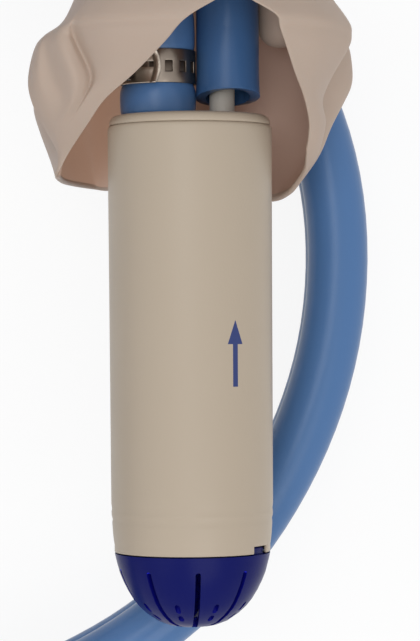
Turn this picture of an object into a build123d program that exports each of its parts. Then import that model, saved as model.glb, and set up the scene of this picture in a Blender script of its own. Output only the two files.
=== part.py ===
import math
import os

from build123d import *

# Submersible in-line pump set: pump, twin hose, dust cover and far-end plug, lying on a table.
# +Y runs along the pump axis towards the outlet, +Z is up from the table, x = 0 is the pump axis.
# Heights along the pump are counted from the tip of the strainer dome.

axis_height = 54.0
half_length = 93.5
hose_radius = 7.7
spigot_x = -7.7
sleeve_x = 9.45
joint_s = 18.2
shoulder_s = 122.5
cap_top_s = 125.2
casing_top_radius = 20.0
casing_low_radius = 19.05
bore_radius = 17.4
capsule_radius = 15.3
shaft_radius = 1.15
slot_count = 9
slot_width = 1.0
band_low_s = 132.8
band_high_s = 140.6
band_radius = 8.75
band_thick = 0.6
clip_angle = -62
screw_lift = 11.9
cover_wall = 1.8
plug_x = -165.0
plug_end_y = -65.0
plug_z = 46.7

os.makedirs("parts", exist_ok=True)
made = []


def at(s):
    return s - half_length


def turned(profile, x0=0.0, mode=Mode.ADD):
    # profile: (radius, height along the pump) corners, turned about a line parallel to the pump axis
    with BuildSketch(Plane.XY.offset(axis_height)) as face:
        with BuildLine():
            Polyline(*[(x0 + r, at(s)) for r, s in profile], close=True)
        make_face()
    revolve(face.sketch, axis=Axis((x0, 0, axis_height), (0, 1, 0)), mode=mode)


def cross(s, x0=0.0):
    # a plane square to the pump axis, local x to the right and local y up
    return Plane(origin=(x0, at(s), axis_height), x_dir=(1, 0, 0), z_dir=(0, -1, 0))


def sector(inner, outer, start, stop, low_s, high_s, mode=Mode.ADD, x0=0.0):
    # a piece of ring between two angles, counted from straight up towards +X
    steps = 8
    angles = [math.radians(start + (stop - start) * i / steps) for i in range(steps + 1)]
    rim = [(outer * math.sin(a), outer * math.cos(a)) for a in angles]
    back = [(inner * math.sin(a), inner * math.cos(a)) for a in reversed(angles)]
    with BuildSketch(cross(low_s, x0)) as face:
        with BuildLine():
            Polyline(*(rim + back), close=True)
        make_face()
    extrude(face.sketch, amount=low_s - high_s, mode=mode)


def keep(builder, label):
    builder.part.label = label
    export_step(builder.part, f"parts/{label}.step")
    box = builder.part.bounding_box()
    made.append(label)
    print(label, len(builder.part.solids()), round(builder.part.volume, 1),
          [round(v, 2) for v in (*box.min, *box.max)])


# ---- casing and cap ----

with BuildPart() as outer_casing:
    turned([
        (bore_radius, joint_s + 0.3), (casing_low_radius, joint_s + 0.3),
        (casing_low_radius + 0.22, 23.0), (casing_low_radius + 0.38, 27.0), (casing_low_radius + 0.5, 33.0),
        (casing_low_radius + 0.56, 42.0), (casing_top_radius, 121.3), (casing_top_radius - 0.35, 122.15),
        (casing_top_radius - 1.2, shoulder_s),
        (18.0, shoulder_s), (18.0, 112.0), (bore_radius, 111.0),
    ])
    for turn in (0, 180):
        sector(16.0, 21.0, 52 + turn, 102 + turn, 17.0, 20.3, Mode.SUBTRACT)
keep(outer_casing, "outer_casing")

with BuildPart() as top_cap:
    turned([
        (0, 119.0), (15.6, 119.0), (15.6, 112.5), (17.95, 112.5), (17.95, shoulder_s),
        (19.3, shoulder_s), (19.3, 124.2), (18.3, cap_top_s), (0, cap_top_s),
    ])
    turned([
        (0, 116.0), (5.6, 116.0), (5.6, cap_top_s - 1), (4.9, cap_top_s + 1), (4.9, 130.0), (5.5, 131.4),
        (4.9, 134.0), (4.9, 142.0), (5.5, 143.4), (4.9, 146.0), (5.4, 147.4), (4.6, 152.0), (0, 152.0),
    ], spigot_x)
    turned([(0, 110.0), (3.6, 110.0), (3.6, 155.0), (0, 155.0)], spigot_x, Mode.SUBTRACT)
    turned([(0, 114.0), (7.4, 114.0), (7.4, 121.0), (0, 121.0)], 8.0)
    turned([(0, 112.0), (5.2, 112.0), (5.2, 127.0), (0, 127.0)], 8.0, Mode.SUBTRACT)
keep(top_cap, "top_cap")

with BuildPart() as cable_gland:
    turned([(3.12, 114.5), (5.18, 114.5), (5.18, cap_top_s), (3.12, cap_top_s)], 8.0)
keep(cable_gland, "cable_gland")

# ---- strainer dome, a bayonet fit in the lower rim ----

with BuildPart() as strainer:
    turned([
        (0, 0), (3.4, 0.15), (6.0, 0.55), (8.6, 1.6), (11.3, 3.5), (14.0, 6.2), (15.8, 9.1), (17.7, 13.3),
        (18.6, 16.4), (18.9, joint_s), (17.33, joint_s), (17.33, 22.0), (15.7, 22.0), (15.7, 16.8),
        (14.7, 12.4), (12.6, 8.2), (10.2, 5.5), (7.8, 3.5), (5.4, 2.4), (3.0, 1.95), (0, 1.8),
    ])
    for turn in (0, 180):
        sector(16.5, 18.95, 53 + turn, 71 + turn, joint_s - 0.4, joint_s + 1.6)
    # long slots from low on the side to near the tip
    with BuildSketch(cross(-1)):
        with PolarLocations(0, slot_count, start_angle=90 - 4.7):
            with Locations((11.5, 0)):
                Rectangle(17.0, slot_width)
    extrude(amount=-15.0, mode=Mode.SUBTRACT)
    # two short slots in line, low on the dome, midway between each two long ones
    with BuildSketch(cross(-1)):
        with PolarLocations(0, slot_count, start_angle=90 - 4.7 - 180 / slot_count):
            with Locations((13.3, 0), (10.5, 0)):
                SlotOverall(2.1, 1.1)
    extrude(amount=-12.5, mode=Mode.SUBTRACT)
keep(strainer, "strainer")

# ---- pump end: inlet plate, impeller, diffuser ----

with BuildPart() as inlet_plate:
    turned([(8.0, 22.4), (17.35, 22.4), (17.35, 31.0), (15.6, 31.0), (15.6, 24.0), (8.8, 24.0), (8.0, 23.4)])
keep(inlet_plate, "inlet_plate")

with BuildPart() as impeller:
    turned([(shaft_radius, 25.0), (3.4, 25.0), (4.2, 29.0), (14.2, 30.2), (14.2, 31.4), (shaft_radius, 31.4)])
    blade_points = [
        (3.2, 0.6), (7.0, 2.6), (10.6, 3.2), (13.9, 1.6), (13.6, 0.7), (10.4, 2.1), (7.2, 1.5), (3.4, -0.4)]
    with BuildSketch(cross(24.8)):
        with PolarLocations(0, 6):
            Polygon(*blade_points, align=None)
    extrude(amount=-5.8)
    turned([(0, 24.0), (shaft_radius, 24.0), (shaft_radius, 32.0), (0, 32.0)], mode=Mode.SUBTRACT)
keep(impeller, "impeller")

with BuildPart() as impeller_clip:
    turned([(shaft_radius, 24.2), (2.6, 24.2), (2.6, 24.9), (shaft_radius, 24.9)])
keep(impeller_clip, "impeller_clip")

with BuildPart() as diffuser:
    turned([(5.2, 32.0), (15.2, 32.0), (15.2, 33.4), (5.2, 33.4)])
    with BuildSketch(cross(32.0)):
        with PolarLocations(0, 8):
            with Locations(Location((16.1, 0), 22)):
                Rectangle(2.3, 1.0)
    extrude(amount=-6.0)
    seat_radius = capsule_radius + 0.02
    turned([(0, 33.5), (seat_radius, 33.5), (seat_radius, 40.0), (0, 40.0)], mode=Mode.SUBTRACT)
    with BuildSketch(cross(31.0)):
        Circle(21.0)
        Circle(bore_radius - 0.05, mode=Mode.SUBTRACT)
    extrude(amount=-10.0, mode=Mode.SUBTRACT)
keep(diffuser, "diffuser")

# ---- sealed motor capsule: water runs between it and the casing ----

with BuildPart() as motor_capsule:
    turned([
        (3.6, 33.5), (capsule_radius, 33.5), (capsule_radius, 92.0), (14.0, 92.0), (14.0, 38.4),
        (5.02, 38.4), (5.02, 35.0), (3.6, 35.0),
    ])
    with BuildSketch(cross(44.0)):
        with PolarLocations(0, 6):
            with Locations((16.25, 0)):
                Rectangle(2.1, 1.2)
    extrude(amount=-44.0)
keep(motor_capsule, "motor_capsule")

with BuildPart() as capsule_lid:
    turned([(0, 92.0), (capsule_radius, 92.0), (capsule_radius - 0.8, 94.0), (0, 94.0)])
    turned([
        (0, 87.5), (13.95, 87.5), (13.95, 89.0), (12.9, 89.0), (12.9, 90.6), (13.95, 90.6), (13.95, 92.0),
        (0, 92.0),
    ])
    turned([(0, 86.0), (11.4, 86.0), (11.4, 90.0), (0, 90.0)], mode=Mode.SUBTRACT)
    turned([(0, 94.0), (5.0, 94.0), (4.4, 98.0), (0, 98.0)], 8.0)
    turned([(0, 86.0), (3.12, 86.0), (3.12, 99.0), (0, 99.0)], 8.0, Mode.SUBTRACT)
keep(capsule_lid, "capsule_lid")

with BuildPart() as capsule_o_ring:
    turned([(12.95, 89.1), (13.95, 89.1), (13.95, 90.5), (12.95, 90.5)])
keep(capsule_o_ring, "capsule_o_ring")

with BuildPart() as shaft_seal:
    turned([(1.18, 35.1), (5.0, 35.1), (5.0, 38.4), (4.0, 38.4), (4.0, 36.2), (1.6, 36.2), (1.18, 35.6)])
keep(shaft_seal, "shaft_seal")

# ---- motor ----

with BuildPart() as motor_can:
    turned([
        (3.22, 41.0), (5.0, 41.0), (5.0, 43.0), (13.9, 43.0), (13.9, 79.0), (13.0, 79.0), (13.0, 44.0),
        (3.22, 44.0),
    ])
keep(motor_can, "motor_can")

with BuildPart() as motor_end_cap:
    turned([(0, 79.05), (13.9, 79.05), (13.9, 81.2), (0, 81.2)])
    turned([(11.6, 77.0), (12.95, 77.0), (12.95, 79.05), (11.6, 79.05)])
    turned([(0, 81.2), (4.0, 81.2), (4.0, 83.0), (0, 83.0)])
    turned([(0, 78.0), (2.62, 78.0), (2.62, 82.0), (0, 82.0)], mode=Mode.SUBTRACT)
keep(motor_end_cap, "motor_end_cap")

for label, start in (("magnet_left", 215), ("magnet_right", 35)):
    with BuildPart() as magnet:
        sector(11.3, 12.95, start, start + 110, 50.0, 74.0)
    keep(magnet, label)

with BuildPart() as rotor_shaft:
    turned([(0, 23.6), (0.9, 23.6), (shaft_radius, 23.9), (shaft_radius, 81.4), (0.9, 81.6), (0, 81.6)])
keep(rotor_shaft, "rotor_shaft")

with BuildPart() as armature_core:
    with BuildSketch(cross(54.0)):
        Circle(10.8)
        Circle(9.0, mode=Mode.SUBTRACT)
        with PolarLocations(0, 3, start_angle=60):
            with Locations((10.0, 0)):
                Rectangle(4.0, 2.4, mode=Mode.SUBTRACT)
        Circle(5.0)
        with PolarLocations(0, 3):
            with Locations((5.5, 0)):
                Rectangle(9.0, 3.0)
        Circle(shaft_radius, mode=Mode.SUBTRACT)
    extrude(amount=-16.0)
keep(armature_core, "armature_core")

with BuildPart() as armature_windings:
    for low_s, high_s in ((50.5, 53.95), (70.05, 73.0)):
        with BuildSketch(cross(low_s)):
            with PolarLocations(5.2, 3):
                Circle(3.9)
            Circle(1.2, mode=Mode.SUBTRACT)
        extrude(amount=low_s - high_s)
keep(armature_windings, "armature_windings")

with BuildPart() as commutator:
    turned([(shaft_radius, 73.2), (2.8, 73.2), (2.8, 77.6), (shaft_radius, 77.6)])
keep(commutator, "commutator")

with BuildPart() as lower_bearing:
    turned([(1.2, 41.1), (3.2, 41.1), (3.2, 44.4), (1.2, 44.4)])
keep(lower_bearing, "lower_bearing")

with BuildPart() as upper_bearing:
    turned([(1.2, 79.2), (2.6, 79.2), (2.6, 81.9), (1.2, 81.9)])
keep(upper_bearing, "upper_bearing")

for label, side in (("brush_left", -1), ("brush_right", 1)):
    with BuildPart() as brush:
        with Locations((side * 3.4, at(75.4), axis_height)):
            Box(1.1, 1.8, 2.6)
        with Locations((side * 5.4, at(75.4), axis_height)):
            Box(3.2, 1.4, 0.6)
        with Locations((side * 6.7, at(77.2), axis_height)):
            Box(0.6, 3.6, 1.6)
    keep(brush, label)

with BuildPart() as lead_wires:
    for x_motor, x_cable in ((-6.7, 6.6), (6.7, 9.4)):
        with BuildLine() as wire_path:
            Polyline((x_motor, at(81.3), axis_height), (x_motor, at(83.6), axis_height),
                     (x_cable, at(85.0), axis_height), (x_cable, at(86.0), axis_height))
        with BuildSketch(Plane(origin=(x_motor, at(81.3), axis_height), z_dir=(0, 1, 0))):
            Circle(0.8)
        sweep(path=wire_path.line, transition=Transition.RIGHT)
keep(lead_wires, "lead_wires")

# ---- cable and the two split ends of the twin hose ----

with BuildPart() as power_cable:
    turned([(0, 86.1), (3.1, 86.1), (3.1, 146.0), (0, 146.0)], 8.0)
keep(power_cable, "power_cable")

with BuildPart() as sleeve_end:
    turned([(5.15, 127.0), (hose_radius, 127.0), (hose_radius, 146.0), (5.15, 146.0)], sleeve_x)
    # oblique knife cut across the lower end, higher at the front
    with BuildSketch(Plane(origin=(sleeve_x, at(129.7), axis_height), z_dir=(-0.03, 1, -0.21))):
        Rectangle(40, 40)
    extrude(amount=-12, mode=Mode.SUBTRACT)
keep(sleeve_end, "sleeve_end")

with BuildPart() as water_hose_end:
    turned([
        (5.5, cap_top_s + 0.05), (9.0, cap_top_s + 0.05), (9.3, 126.6), (9.35, 130.2), (9.1, 131.9),
        (8.7, 132.6), (8.7, 140.8), (9.1, 141.6), (9.15, 148.0), (8.7, 151.5), (7.9, 155.0), (hose_radius, 158.0),
        (5.0, 158.0), (5.0, 152.6), (5.5, 150.0),
    ], spigot_x)
keep(water_hose_end, "water_hose_end")

# ---- worm-drive clip ----

with BuildPart() as clip_band:
    turned([
        (band_radius, band_low_s), (band_radius + band_thick, band_low_s),
        (band_radius + band_thick, band_high_s), (band_radius, band_high_s),
    ], spigot_x)
    slot_s = (band_low_s + band_high_s) / 2
    # the slots stop at the band's own tail, which runs on under the slotted end
    for index in range(15):
        turn = Rot(0, index * 24, 0)
        lift = Pos(0, 0, band_radius + 2.25)
        slot = Pos(spigot_x, at(slot_s), axis_height) * turn * lift * Box(2.0, 2.9, 4.0, mode=Mode.PRIVATE)
        add(slot, mode=Mode.SUBTRACT)
keep(clip_band, "clip_band")

clip_place = Pos(spigot_x, at(slot_s), axis_height) * Rot(0, clip_angle, 0)

with BuildPart() as clip_housing:
    # an arched channel over the screw, with rolled ends, on a curved saddle outside the band
    with BuildSketch(Plane(clip_place * Pos(-4.5, 0, screw_lift) * Rot(0, 90, 0))):
        Circle(2.9)
        with Locations((1.25, 0)):
            Rectangle(2.5, 8.2)
    extrude(amount=9.0)
    for start in (-4.6, 3.8):
        with BuildSketch(Plane(clip_place * Pos(start, 0, screw_lift) * Rot(0, 90, 0))):
            Circle(3.3)
        extrude(amount=0.8)
    under = Pos(spigot_x, at(slot_s), axis_height) * Rot(90, 0, 0) * Cylinder(9.4, 20, mode=Mode.PRIVATE)
    add(under, mode=Mode.SUBTRACT)
    sector(9.37, 9.95, clip_angle - 38, clip_angle + 64, band_low_s - 0.3, band_high_s + 0.3, x0=spigot_x)
    bore = clip_place * Pos(0, 0, screw_lift) * Rot(0, 90, 0) * Cylinder(1.95, 20, mode=Mode.PRIVATE)
    add(bore, mode=Mode.SUBTRACT)
keep(clip_housing, "clip_housing")

with BuildPart() as clip_screw:
    shank = clip_place * Pos(0.1, 0, screw_lift) * Rot(0, 90, 0) * Cylinder(1.9, 9.6, mode=Mode.PRIVATE)
    add(shank)
    head_plane = Plane(clip_place * Pos(4.9, 0, screw_lift) * Rot(0, 90, 0))
    with BuildSketch(head_plane):
        RegularPolygon(2.5, 6)
    extrude(amount=4.0)
    with BuildSketch(head_plane):
        Circle(2.75)
    extrude(amount=0.7)
    with BuildSketch(head_plane.offset(4.0)):
        Rectangle(0.8, 6.0)
    extrude(amount=-1.0, mode=Mode.SUBTRACT)
keep(clip_screw, "clip_screw")

# ---- dust cover: a soft bell on the twin hose, cut away at the front ----

bell = [
    (174.0, [(0, 44.3), (9, 44.4), (16.8, 48.5), (17.9, 54), (16.6, 58.5), (9, 63.6), (0, 63.8), (-9, 63.6),
             (-16.6, 58.5), (-17.9, 54), (-17, 50), (-12, 45.2), (-6, 44.3)]),
    (162.0, [(0, 36.5), (15, 38.5), (27.5, 45.5), (28.3, 54), (27, 62), (15, 74), (0, 77), (-14, 74),
             (-22.5, 63), (-24, 52), (-24, 42), (-17, 33), (-8, 33.5)]),
    (148.0, [(0, 32.8), (20, 33), (36.8, 43), (36, 52.5), (38, 60), (22, 80.5), (0, 85), (-18, 80),
             (-32.5, 62), (-33, 52), (-33, 28), (-26, 13), (-13, 22)]),
    (134.0, [(0, 32.3), (20, 33.2), (38.8, 44), (34.8, 52.5), (35, 60.5), (21, 79), (0, 86), (-20, 80),
             (-37.8, 59), (-36.8, 50.5), (-37, 22), (-29, 1.2), (-17, 18)]),
    (120.0, [(0, 31.3), (18, 31.6), (33.5, 44), (32.3, 51.5), (32, 58), (19, 77), (0, 85), (-19, 79),
             (-34.8, 56), (-33.6, 49), (-36.4, 24), (-28, 0.2), (-16, 18)]),
    (105.0, [(0, 31.3), (14, 31.6), (23.5, 41), (25.5, 50), (25.5, 58), (17, 76), (0, 82), (-17, 78),
             (-31.5, 56), (-32.4, 47), (-33, 22), (-26, 2.0), (-14, 18)]),
]


def inset(points, distance):
    # move each point inward, square to the line between its neighbours
    moved = []
    count = len(points)
    for index, (x, z) in enumerate(points):
        x_next, z_next = points[(index + 1) % count]
        x_last, z_last = points[index - 1]
        along_x = x_next - x_last
        along_z = z_next - z_last
        size = math.hypot(along_x, along_z)
        moved.append((x - distance * along_z / size, z + distance * along_x / size))
    return moved


def bell_shell(distance, extra, mode=Mode.ADD):
    faces = []
    for s, points in bell:
        place = s + extra if s < 110 else s
        outline = inset(points, distance) if distance else points
        with BuildSketch(Plane(origin=(0, at(place), 0), x_dir=(1, 0, 0), z_dir=(0, -1, 0))) as face:
            with BuildLine():
                Spline(*outline, periodic=True)
            make_face()
        faces.append(face.sketch)
    loft(faces, mode=mode)


with BuildPart() as dust_cover:
    bell_shell(0, 0)
    with BuildSketch(cross(187.0)):
        SlotOverall(35.6, 19.6)
    extrude(amount=14.0)
    bell_shell(cover_wall, -0.5, Mode.SUBTRACT)
    with BuildSketch(cross(188.0)):
        SlotOverall(31.9, 15.9)
    extrude(amount=16.0, mode=Mode.SUBTRACT)
    # the front is open: the rim runs up from both sides to a rounded peak
    with BuildSketch(Plane.XY.offset(56.0)):
        with BuildLine():
            Polyline(*[(x, at(s)) for x, s in [
                (-31, 100), (-31, 109), (-29, 114), (-26, 119), (-21.4, 126), (-16, 132), (-7.6, 140),
                (-1, 147), (8, 154), (16, 153), (21, 147), (25, 136), (28, 127), (28.6, 122), (28, 115),
                (25, 108), (25, 100)]],
                close=True)
        make_face()
    extrude(amount=50.0, mode=Mode.SUBTRACT)
    # the rim of the lobe that hangs to the table ends a little higher
    with BuildSketch(Plane.YZ):
        with BuildLine():
            Polyline((at(100), -2), (at(110.8), -2), (at(110.2), 12), (at(108.6), 30), (at(106.6), 44),
                     (at(104.8), 56), (at(100), 56), close=True)
        make_face()
    extrude(amount=60.0, both=True, mode=Mode.SUBTRACT)
    with Locations((0, 0, -5.0)):
        Box(400, 400, 10.0, mode=Mode.SUBTRACT)
keep(dust_cover, "dust_cover")

# ---- twin hose: water tube and cable tube, side by side at the pump, one on the other in the coil ----

water_points = [
    (-7.8, 64.5, 54), (-7.8, 122, 54), (-34, 168, 49), (-83, 195, 35), (-146, 191, 23.3),
    (-199, 160, 23.3), (-229, 107, 23.3), (-239, 46, 23.3), (-233, -16, 23.3), (-208, -73, 23.3),
    (-164, -117, 23.3), (-110, -134, 23.3), (-58, -123, 23.3), (3, -92, 23.3), (38, -33, 23.3),
    (37, 34, 23.3), (-4, 86, 23.3), (-70, 104, 23.6), (-132, 80, 31), (-164, 26, 43.5), (-165, -25, 54.575),
    (-165, -65, 54.575),
]
sleeve_points = [
    (9.45, 52.5, 54), (9.45, 61.5, 54), (8.1, 75, 54), (7.9, 131, 54), (-20, 178, 43), (-76, 206, 21),
    (-146, 191, 7.75),
    (-199, 160, 7.75), (-229, 107, 7.75), (-239, 46, 7.75), (-233, -16, 7.75), (-208, -73, 7.75),
    (-164, -117, 7.75), (-110, -134, 7.75), (-58, -123, 7.75), (3, -92, 7.75), (38, -33, 7.75),
    (37, 34, 7.75), (-4, 86, 7.75), (-70, 104, 7.9), (-132, 80, 15.1), (-164, 26, 27.6), (-165, -25, 38.825),
    (-165, -65, 38.825),
]


def bend_radii(points):
    # each bend takes 0.45 of the shorter run beside it
    radii = []
    for before, here, after in zip(points, points[1:], points[2:]):
        run_in = [b - a for a, b in zip(before, here)]
        run_out = [b - a for a, b in zip(here, after)]
        long_in = math.hypot(*run_in)
        long_out = math.hypot(*run_out)
        cosine = sum(a * b for a, b in zip(run_in, run_out)) / long_in / long_out
        turn = math.acos(min(1.0, cosine))
        radii.append(0.45 * min(long_in, long_out) / math.tan(turn / 2))
    return radii


for name, points in (("water_hose", water_points), ("cable_sleeve", sleeve_points)):
    radii = bend_radii(points)
    print(name, "smallest bend radius", round(min(radii), 1))
    with BuildPart() as tube:
        with BuildLine() as tube_path:
            FilletPolyline(*points, radius=radii)
        with BuildSketch(Plane(origin=points[0], x_dir=(1, 0, 0), z_dir=(0, 1, 0))):
            Circle(hose_radius)
        sweep(path=tube_path.line)
    length = sum(edge.length for edge in tube_path.edges())
    print(name, "length", round(length, 1), "volume ratio",
          round(tube.part.volume / (length * math.pi * hose_radius ** 2), 4))
    keep(tube, name)

# ---- far-end plug ----


def plug_plane(y):
    return Plane(origin=(plug_x, y, plug_z), x_dir=(1, 0, 0), z_dir=(0, -1, 0))


with BuildPart() as plug_boot:
    with BuildSketch(plug_plane(plug_end_y)):
        SlotOverall(30.8, 16.4, rotation=90)
    with BuildSketch(plug_plane(plug_end_y - 12)):
        RectangleRounded(20, 30.8, 6)
    loft()
keep(plug_boot, "plug_boot")

screw_places = [
    (plug_end_y - 17, plug_z + 10.5), (plug_end_y - 17, plug_z - 10.5), (plug_end_y - 33, plug_z - 0.5)]

for name, side in (("plug_body", -1), ("plug_cover", 1)):
    with BuildPart() as half:
        with BuildSketch(plug_plane(plug_end_y - 12)):
            RectangleRounded(25, 30.8, 6)
        extrude(amount=36)
        # finger ribs across the flat side
        for row in range(6):
            with Locations((plug_x + side * 12.6, plug_end_y - 21 - row * 3.4, plug_z)):
                Box(1.2, 1.4, 17, mode=Mode.SUBTRACT)
        with Locations((plug_x - side * 20.0, plug_end_y - 30, plug_z)):
            Box(40.0, 80, 60, mode=Mode.SUBTRACT)
        with Locations((plug_x, plug_end_y - 50, plug_z + 7.0)):
            Cylinder(6.02, 20, rotation=(90, 0, 0), mode=Mode.SUBTRACT)
        with Locations((plug_x, plug_end_y - 48, plug_z - 7.5)):
            Box(18.04, 16.04, 7.04, mode=Mode.SUBTRACT)
        for y, z in screw_places:
            with Locations((plug_x, y, z)):
                Cylinder(1.22, 20, rotation=(0, 90, 0), mode=Mode.SUBTRACT)
            with Locations((plug_x + 12.0, y, z)):
                Cylinder(2.6, 5.0, rotation=(0, 90, 0), mode=Mode.SUBTRACT)
    keep(half, name)

with BuildPart() as plug_spigot:
    with Locations((plug_x, plug_end_y - 44, plug_z + 7.0)):
        Cylinder(6.0, 8.0, rotation=(90, 0, 0))
    with Locations((plug_x, plug_end_y - 54, plug_z + 7.0)):
        Cylinder(5.0, 20.0, rotation=(90, 0, 0))
    for y in (plug_end_y - 54.0, plug_end_y - 58.5):
        with Locations((plug_x, y, plug_z + 7.0)):
            Cylinder(6.5, 2.0, rotation=(90, 0, 0), mode=Mode.SUBTRACT)
            Cylinder(4.0, 2.0, rotation=(90, 0, 0))
    with Locations((plug_x, plug_end_y - 52, plug_z + 7.0)):
        Cylinder(3.0, 30.0, rotation=(90, 0, 0), mode=Mode.SUBTRACT)
keep(plug_spigot, "plug_spigot")

with BuildPart() as plug_o_rings:
    for y in (plug_end_y - 54.0, plug_end_y - 58.5):
        with Locations((plug_x, y, plug_z + 7.0)):
            Torus(4.75, 0.73, rotation=(90, 0, 0))
keep(plug_o_rings, "plug_o_rings")

with BuildPart() as pin_block:
    with Locations((plug_x, plug_end_y - 48, plug_z - 7.5)):
        Box(18.0, 16.0, 7.0)
    for x in (plug_x - 5.0, plug_x + 5.0):
        with Locations((x, plug_end_y - 48, plug_z - 7.5)):
            Cylinder(2.62, 20, rotation=(90, 0, 0), mode=Mode.SUBTRACT)
keep(pin_block, "pin_block")

with BuildPart() as contact_pins:
    for x in (plug_x - 5.0, plug_x + 5.0):
        with Locations((x, plug_end_y - 52.0, plug_z - 7.5)):
            Cylinder(2.0, 24.0, rotation=(90, 0, 0))
        with Locations((x, plug_end_y - 48.0, plug_z - 7.5)):
            Cylinder(2.6, 16.0, rotation=(90, 0, 0))
    fillet(contact_pins.faces().sort_by(Axis.Y)[:2].edges(), radius=0.9)
keep(contact_pins, "contact_pins")

with BuildPart() as plug_screws:
    for y, z in screw_places:
        with Locations((plug_x + 1.0, y, z)):
            Cylinder(1.2, 17.0, rotation=(0, 90, 0))
        with Locations((plug_x + 10.3, y, z)):
            Cylinder(2.4, 1.6, rotation=(0, 90, 0))
        with Locations((plug_x + 11.1, y, z)):
            Box(0.8, 3.2, 0.6, mode=Mode.SUBTRACT)
            Box(0.8, 0.6, 3.2, mode=Mode.SUBTRACT)
keep(plug_screws, "plug_screws")

print(len(made), "nodes")
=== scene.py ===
import math

import bmesh
import bpy
from mathutils import Matrix, Vector


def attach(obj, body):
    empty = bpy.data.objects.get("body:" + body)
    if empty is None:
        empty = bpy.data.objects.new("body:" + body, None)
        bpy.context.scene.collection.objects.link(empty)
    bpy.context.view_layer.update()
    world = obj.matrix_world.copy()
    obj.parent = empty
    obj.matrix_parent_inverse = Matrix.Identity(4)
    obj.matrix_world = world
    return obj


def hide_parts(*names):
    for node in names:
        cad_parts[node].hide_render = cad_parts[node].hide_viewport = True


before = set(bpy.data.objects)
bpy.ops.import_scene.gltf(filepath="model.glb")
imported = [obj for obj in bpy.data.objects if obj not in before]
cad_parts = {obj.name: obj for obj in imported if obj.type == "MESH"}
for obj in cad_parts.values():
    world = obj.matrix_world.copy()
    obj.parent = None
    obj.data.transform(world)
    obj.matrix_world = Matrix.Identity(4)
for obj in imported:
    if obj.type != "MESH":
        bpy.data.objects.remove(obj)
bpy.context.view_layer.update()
print("frame loaded")

axisLevel = 54.0  # the pump's axis above the floor, in millimetres
axisHeight = axisLevel / 1000
halfLength = 0.0935  # from the dome's tip to the origin
spigotX = -7.7  # the spigot and the water hose stand left of the axis, in millimetres
sleeveX = 9.45  # the cable's sleeve stands right of it


def mm(*values):
    return tuple(v / 1000 for v in values)


def along(s):  # height from the dome's tip, in millimetres, to a place on Y in metres
    return s / 1000 - halfLength


def newObject(name, data):
    made = bpy.data.objects.new(name, data)
    bpy.context.scene.collection.objects.link(made)
    return made


# camera

cameraSetup = {"place": (0.00468, -0.0185, 0.745), "roll": -0.4, "lens": 158.2}

cameraData = bpy.data.cameras.new("camera")
cameraData.lens = cameraSetup["lens"]
cameraData.sensor_width = 36
cameraData.clip_start = 0.01
camera = newObject("camera", cameraData)
camera.location = cameraSetup["place"]
camera.rotation_euler = (0, 0, math.radians(cameraSetup["roll"]))
bpy.context.scene.camera = camera
bpy.context.scene.view_settings.view_transform = "Standard"


# shared shader groups

def makeGroup(name, inputs, outputs):
    tree = bpy.data.node_groups.new(name, "ShaderNodeTree")
    for label, kind, value in inputs:
        socket = tree.interface.new_socket(name=label, in_out="INPUT", socket_type=kind)
        if value is not None:
            socket.default_value = value
    for label, kind in outputs:
        tree.interface.new_socket(name=label, in_out="OUTPUT", socket_type=kind)
    start = tree.nodes.new("NodeGroupInput")
    end = tree.nodes.new("NodeGroupOutput")
    return tree, start, end


def addNode(tree, kind, **settings):
    node = tree.nodes.new(kind)
    for key, value in settings.items():
        setattr(node, key, value)
    return node


def buildMouldedGroup():  # faint mottling, fine dust and scuffs of moulded plastic or rubber
    tree, start, end = makeGroup(
        "mouldedSurface",
        [("Vector", "NodeSocketVector", None), ("Color", "NodeSocketColor", (0.5, 0.5, 0.5, 1)),
         ("Tint", "NodeSocketColor", (0.4, 0.4, 0.4, 1)), ("Mottle Scale", "NodeSocketFloat", 60.0),
         ("Mottle Amount", "NodeSocketFloat", 0.15), ("Grain Scale", "NodeSocketFloat", 1500.0),
         ("Roughness", "NodeSocketFloat", 0.4), ("Roughness Spread", "NodeSocketFloat", 0.1)],
        [("Color", "NodeSocketColor"), ("Roughness", "NodeSocketFloat"), ("Height", "NodeSocketFloat")])
    mottle = addNode(tree, "ShaderNodeTexNoise")
    mottle.inputs["Detail"].default_value = 3
    grain = addNode(tree, "ShaderNodeTexNoise")
    grain.inputs["Detail"].default_value = 2
    tree.links.new(start.outputs["Vector"], mottle.inputs["Vector"])
    tree.links.new(start.outputs["Mottle Scale"], mottle.inputs["Scale"])
    tree.links.new(start.outputs["Vector"], grain.inputs["Vector"])
    tree.links.new(start.outputs["Grain Scale"], grain.inputs["Scale"])
    amount = addNode(tree, "ShaderNodeMath", operation="MULTIPLY")
    tree.links.new(mottle.outputs["Fac"], amount.inputs[0])
    tree.links.new(start.outputs["Mottle Amount"], amount.inputs[1])
    mix = addNode(tree, "ShaderNodeMix", data_type="RGBA")
    tree.links.new(amount.outputs[0], mix.inputs["Factor"])
    tree.links.new(start.outputs["Color"], mix.inputs["A"])
    tree.links.new(start.outputs["Tint"], mix.inputs["B"])
    tree.links.new(mix.outputs["Result"], end.inputs["Color"])
    centred = addNode(tree, "ShaderNodeMath", operation="SUBTRACT")
    centred.inputs[1].default_value = 0.5
    tree.links.new(mottle.outputs["Fac"], centred.inputs[0])
    spread = addNode(tree, "ShaderNodeMath", operation="MULTIPLY_ADD")
    tree.links.new(centred.outputs[0], spread.inputs[0])
    tree.links.new(start.outputs["Roughness Spread"], spread.inputs[1])
    tree.links.new(start.outputs["Roughness"], spread.inputs[2])
    tree.links.new(spread.outputs[0], end.inputs["Roughness"])
    tree.links.new(grain.outputs["Fac"], end.inputs["Height"])
    return tree


arrowLook = {
    "angle": 32.5, "tip": -0.0184, "color": (0.026, 0.045, 0.17), "radius": 0.0197, "headSlope": 0.36,
    "head": (0.0, 0.0058), "shaft": (0.0050, 0.0160), "shaftHalf": 0.00068,
}


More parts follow.
